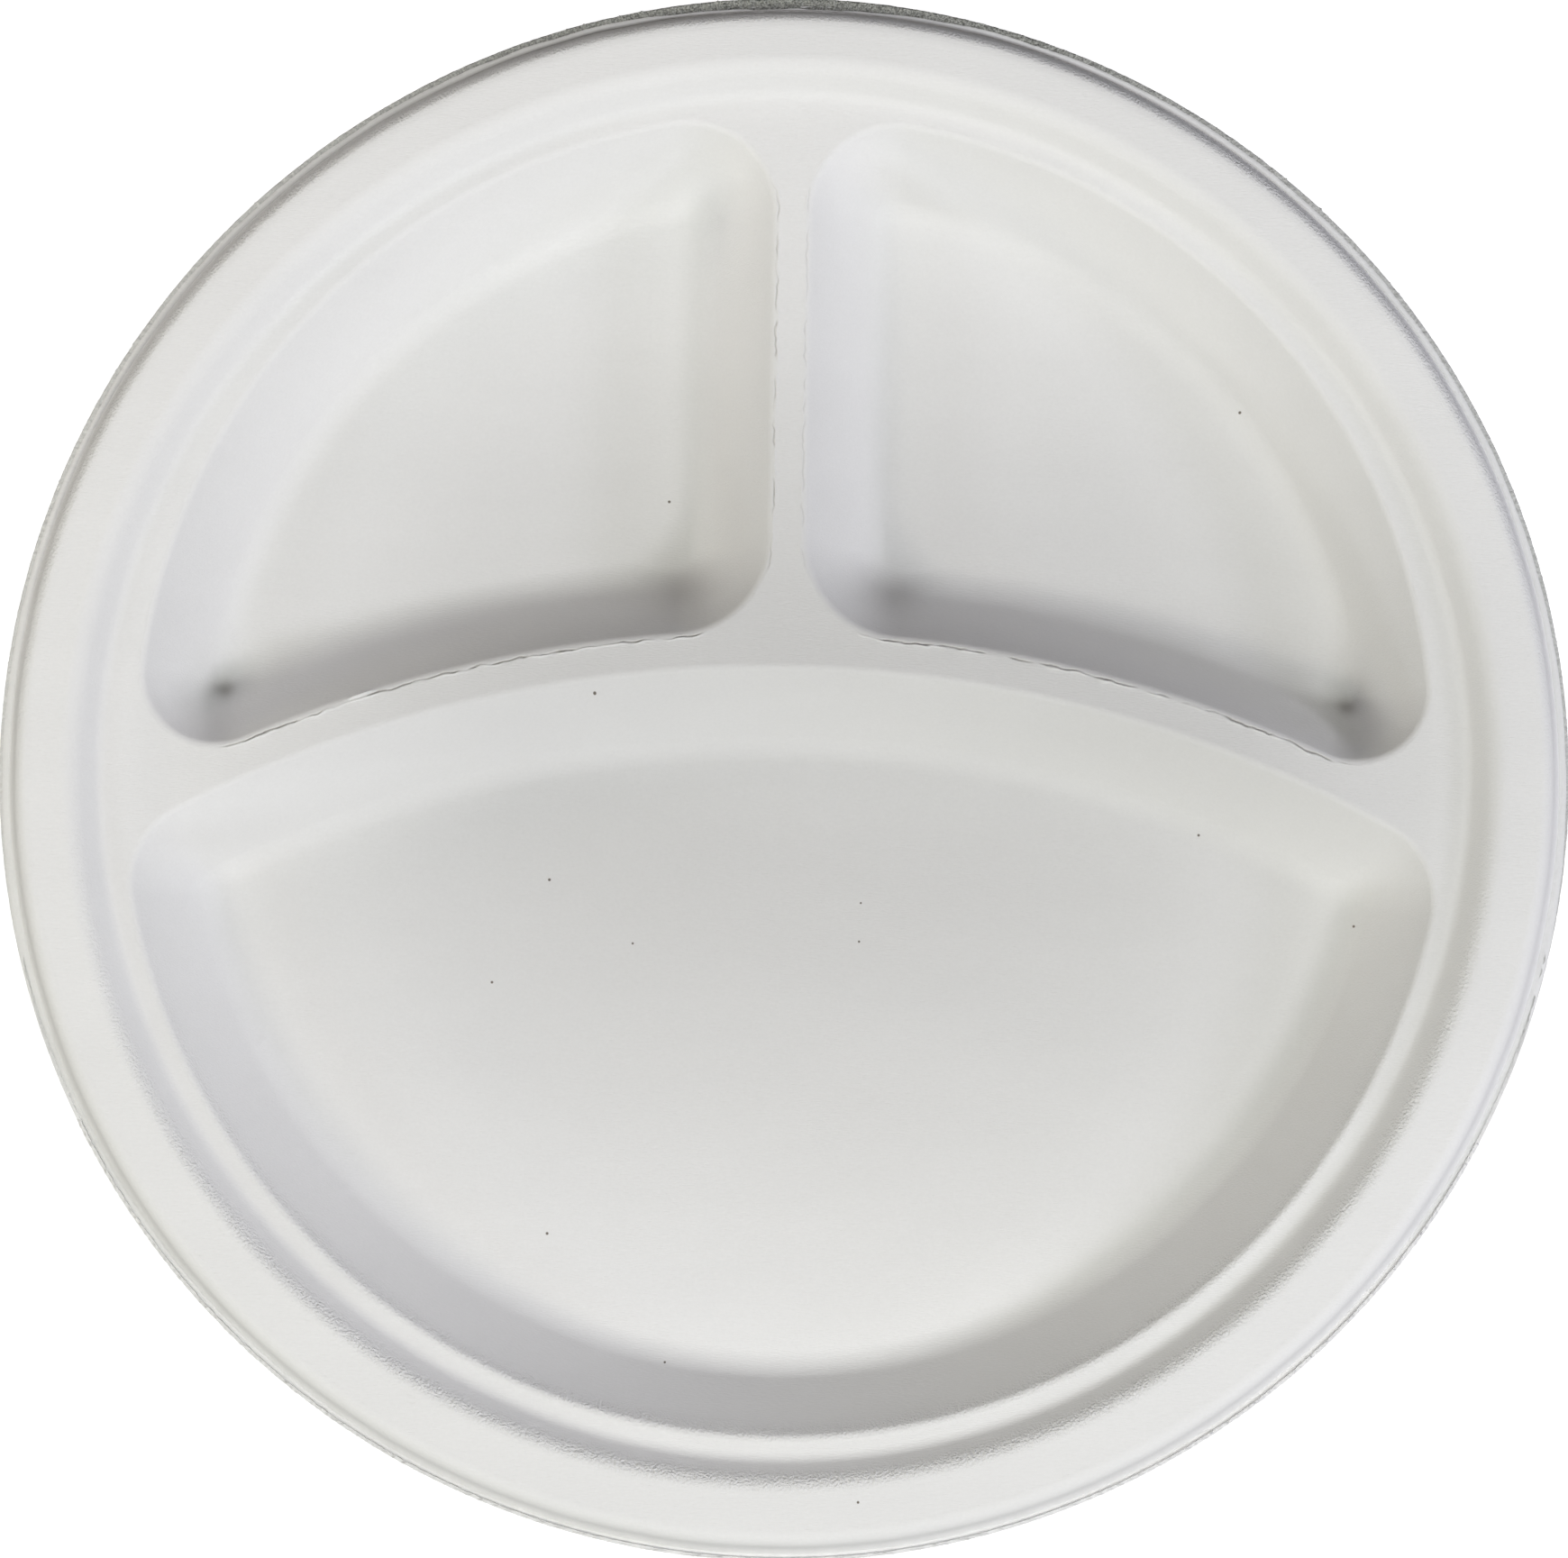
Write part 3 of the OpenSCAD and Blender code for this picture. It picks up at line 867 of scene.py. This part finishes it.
def pulp_colour(graph, place, slit_and_painted_shade, raw_and_painted_shade):
    """White pulp, duller and with painted shade on the lip's unpressed band, pith-coloured in the
    specks, and with painted shade in the torn grooves, the crease and tight pockets.
    """
    cloud = graph.noise(place, CLOUD_SIZE, stretch=CLOUD_STRETCH)
    grain = graph.noise(place, GRAIN_SIZE, detail=1)
    tone = graph.math("MULTIPLY", graph.varied(cloud, TONE_SPREAD), graph.varied(grain, TONE_SPREAD))
    white = graph.add("VectorMath", {0: PULP, "Scale": tone}, operation="SCALE")
    gritty = graph.varied(graph.noise(place, GRIT_SIZE, detail=2), GRIT_SPREAD)
    dull = graph.add("VectorMath", {0: RAW_PULP_IN_PAINTED_SHADE, "Scale": gritty}, operation="SCALE")
    # painted shade on the lip's unpressed band, on top of its duller colour
    colour = graph.mix(raw_and_painted_shade, white, dull)
    colour = graph.mix(speck_mask(graph, place), colour, (*PITH_AND_SHADE, 1))
    # painted shade in the torn grooves, the crease and the tight pockets
    return graph.mix(graph.math("MULTIPLY", slit_and_painted_shade, PAINTED_SLIT_SHADE), colour, (*PITH_AND_SHADE, 1))


def pulp_relief(graph, place, grit, under):
    """Felted fibre on both faces, grit on the lip's unpressed band and the forming screen
    underneath.
    """
    layers = [graph.noise(place, FIBRE_SIZE, stretch=FIBRE_STRETCH, turn=turn, detail=1)
              for turn in FIBRE_TURNS]
    felt = graph.math("ADD", *layers)
    coarse = graph.noise(place, FUZZ_SIZE, detail=2)
    grit = graph.math("MULTIPLY", coarse, graph.math("MULTIPLY", grit, FUZZ_RISE))
    axes = graph.add("SeparateXYZ", {0: place})
    pitch = TURN / (SCREEN_PITCH * MM)
    across = graph.math("SINE", graph.math("MULTIPLY", axes, pitch))
    along = graph.math("SINE", graph.math("MULTIPLY", axes.node.outputs[1], pitch))
    screen = graph.math("MULTIPLY", graph.math("ADD", across, along), under)
    upper = graph.math("ADD", felt, grit)
    height = graph.math("ADD", upper, graph.math("MULTIPLY", screen, SCREEN_RISE))
    return graph.add("Bump", {"Height": height, "Distance": BUMP * MM, "Strength": 1.0})


def pulp_material():
    mat = bpy.data.materials.new("bleached_pulp")
    graph = Graph(mat)
    place = graph.add("TexCoord", {}, output="Object")
    slit_and_painted_shade, raw_and_painted_shade, under = graph.mark("slit_and_painted_shade"), graph.mark("raw_and_painted_shade"), graph.mark("under")
    grit = graph.math("MAXIMUM", raw_and_painted_shade, graph.mark("fuzz"))
    shader = graph.nodes["Principled BSDF"].inputs
    graph.feed(shader["Base Color"], pulp_colour(graph, place, slit_and_painted_shade, raw_and_painted_shade))
    graph.feed(shader["Roughness"], graph.math("MULTIPLY_ADD", raw_and_painted_shade, RAW_ROUGHER, ROUGHNESS))
    graph.feed(shader["Normal"], pulp_relief(graph, place, grit, under))
    shader["Specular IOR Level"].default_value = SPECULAR
    return mat


# ---------------------------------------------------------------- stage, light and camera
TABLE_HALF = 3.0         # metres
TABLE_Z = -0.05          # a hair below the plate's feet, so that the two faces never coincide
TABLE_SEEN, TABLE_GLOW = 0.5, 0.8        # what the camera sees: a grey that takes shadows, lifted
TABLE_BOUNCE = 0.3       # the grey that lights the plate from below
FILL = 0.02              # the world's light on the plate


def grey(level):
    return (level, level, level, 1)


def build_table():
    """A floor that looks white to the camera, keeps the plate's shadow and bounces little light."""
    mesh = bpy.data.meshes.new("table_top")
    corners = [(-1, -1), (1, -1), (1, 1), (-1, 1)]
    mesh.from_pydata([(x * TABLE_HALF, y * TABLE_HALF, TABLE_Z * MM) for x, y in corners], [],
                     [(0, 1, 2, 3)])
    floor = bpy.data.objects.new("table_top", mesh)
    bpy.context.scene.collection.objects.link(floor)
    mat = bpy.data.materials.new("table_white")
    mat.use_nodes = True
    nodes, links = mat.node_tree.nodes, mat.node_tree.links
    shader = nodes["Principled BSDF"]
    shader.inputs["Base Color"].default_value = grey(TABLE_SEEN)
    shader.inputs["Roughness"].default_value = 1.0
    dim = nodes.new("ShaderNodeBsdfDiffuse")
    dim.inputs["Color"].default_value = grey(TABLE_BOUNCE)
    path = nodes.new("ShaderNodeLightPath")
    glow = nodes.new("ShaderNodeEmission")
    glow.inputs["Strength"].default_value = TABLE_GLOW
    add = nodes.new("ShaderNodeAddShader")
    pick = nodes.new("ShaderNodeMixShader")
    links.new(shader.outputs["BSDF"], add.inputs[0])
    links.new(glow.outputs["Emission"], add.inputs[1])
    links.new(path.outputs["Is Camera Ray"], pick.inputs["Fac"])
    links.new(dim.outputs["BSDF"], pick.inputs[1])
    links.new(add.outputs["Shader"], pick.inputs[2])
    links.new(pick.outputs["Shader"], nodes["Material Output"].inputs["Surface"])
    mesh.materials.append(mat)


# Round soft lamps as name, azimuth and elevation in degrees, distance and size in metres, power in
# watts and tint. The places and sizes come from a longer list. Another program picked these ten
# from it, and worked out powers and tints, by fitting low-resolution test renders to the
# photograph's brightness by least squares.
LAMPS = [
    ("top", 0, 90, 1.3, 0.17, 4.43, (1.0, 1.0, 1.0)),
    ("right_key", 324, 45, 1.2, 0.2, 3.61, (0.957, 0.948, 1.0)),
    ("left_key", 216, 45, 1.2, 0.2, 2.38, (1.0, 0.938, 0.811)),
    ("front_high", 292, 58, 2.4, 0.4, 14.9, (0.971, 1.0, 0.916)),
    ("front_low", 248, 15, 1.2, 0.2, 1.51, (0.94, 0.955, 1.0)),
    ("left", 198, 30, 1.2, 0.2, 1.16, (0.864, 0.94, 1.0)),
    ("left_low", 180, 15, 1.2, 0.2, 1.56, (1.0, 0.937, 0.723)),
    ("right", 0, 30, 1.2, 0.2, 2.54, (0.876, 0.876, 1.0)),
    ("right_low", 0, 15, 1.2, 0.2, 1.47, (0.9, 0.867, 1.0)),
    ("near_back_left", 135, 30, 0.45, 0.15, 0.203, (1.0, 0.912, 0.918)),
]


def area_light(name, azimuth, elevation, distance, size, power, colour):
    """A round soft light aimed at the plate's centre."""
    data = bpy.data.lights.new(name, "AREA")
    data.shape = "DISK"
    data.size = size
    data.energy = power
    data.color = colour
    light = bpy.data.objects.new(name, data)
    light.visible_camera = False
    az, el = math.radians(azimuth), math.radians(elevation)
    at = Vector((math.cos(az) * math.cos(el), math.sin(az) * math.cos(el), math.sin(el)))
    light.location = at * distance
    light.rotation_euler = at.to_track_quat("Z", "Y").to_euler()
    bpy.context.scene.collection.objects.link(light)


# Centre of the oval and its half widths, rounded from a fit to the photograph's brightness. Its
# height over the plate is a guess.
SHADE_AT = (10.0, 1.4, 420.0)
SHADE_R = (69.0, 37.0, 0.0)
SHADE_POINTS = 48
SHADE_GREY = 0.05


def build_shade():
    """An unseen oval over the plate: the soft shade that a hand-held camera throws on its middle."""
    angle = np.arange(SHADE_POINTS) * TURN / SHADE_POINTS
    rim = np.stack([np.cos(angle), np.sin(angle), 0 * angle], axis=1) * SHADE_R + SHADE_AT
    mesh = bpy.data.meshes.new("camera_shade")
    mesh.from_pydata((rim * MM).tolist(), [], [list(range(SHADE_POINTS))])
    shade = bpy.data.objects.new("camera_shade", mesh)
    shade.visible_camera = False
    shade.visible_glossy = False
    bpy.context.scene.collection.objects.link(shade)
    mat = bpy.data.materials.new("shade_black")
    mat.use_nodes = True
    shader = mat.node_tree.nodes["Principled BSDF"]
    shader.inputs["Base Color"].default_value = grey(SHADE_GREY)
    mesh.materials.append(mat)


def build_world(strength):
    """White to the camera, and a faint fill of the given strength to everything else."""
    world = bpy.data.worlds.new("studio")
    world.use_nodes = True
    nodes, links = world.node_tree.nodes, world.node_tree.links
    background = nodes["Background"]
    background.inputs["Color"].default_value = grey(1)
    background.inputs["Strength"].default_value = strength
    seen = nodes.new("ShaderNodeBackground")
    seen.inputs["Color"].default_value = grey(1)
    path = nodes.new("ShaderNodeLightPath")
    pick = nodes.new("ShaderNodeMixShader")
    links.new(path.outputs["Is Camera Ray"], pick.inputs["Fac"])
    links.new(background.outputs["Background"], pick.inputs[1])
    links.new(seen.outputs["Background"], pick.inputs[2])
    links.new(pick.outputs["Shader"], nodes["World Output"].inputs["Surface"])
    bpy.context.scene.world = world


# The camera's place over the plate and what it looks at, rounded from a fit to the edges of the
# rim, wells and floors in the photograph.
EYE = (8.0, -94.0, 1000.0)
AIM = (0.1, -1.5, 18.0)
ROLL = math.radians(0.934)               # the plate lies turned a little clockwise in the picture
FRAME_HALF_W = 129.7     # half the picture's width at that distance
SENSOR_W = 36.0


def build_camera():
    """A camera almost straight above the plate, where the photograph was taken from."""
    data = bpy.data.cameras.new("camera")
    camera = bpy.data.objects.new("camera", data)
    eye, aim = Vector(EYE) * MM, Vector(AIM) * MM
    look = (aim - eye).normalized()
    right = look.cross(Vector((0, 1, 0))).normalized()
    turn = Matrix((right, right.cross(look), -look)).transposed().to_4x4()
    camera.matrix_world = Matrix.Translation(eye) @ turn @ Matrix.Rotation(ROLL, 4, "Z")
    data.sensor_fit = "HORIZONTAL"
    data.sensor_width = SENSOR_W
    distance = (eye - aim).length
    data.lens = SENSOR_W / 2 * distance / (FRAME_HALF_W * MM)
    bpy.context.scene.collection.objects.link(camera)
    bpy.context.scene.camera = camera


# ---------------------------------------------------------------- the scene
plate = build_plate()
plate.data.materials.append(pulp_material())
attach(plate, "root")
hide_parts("plate")

build_table()
build_shade()
build_world(FILL)
for lamp in LAMPS:
    area_light(*lamp)
build_camera()

bpy.context.scene.view_settings.view_transform = "Standard"
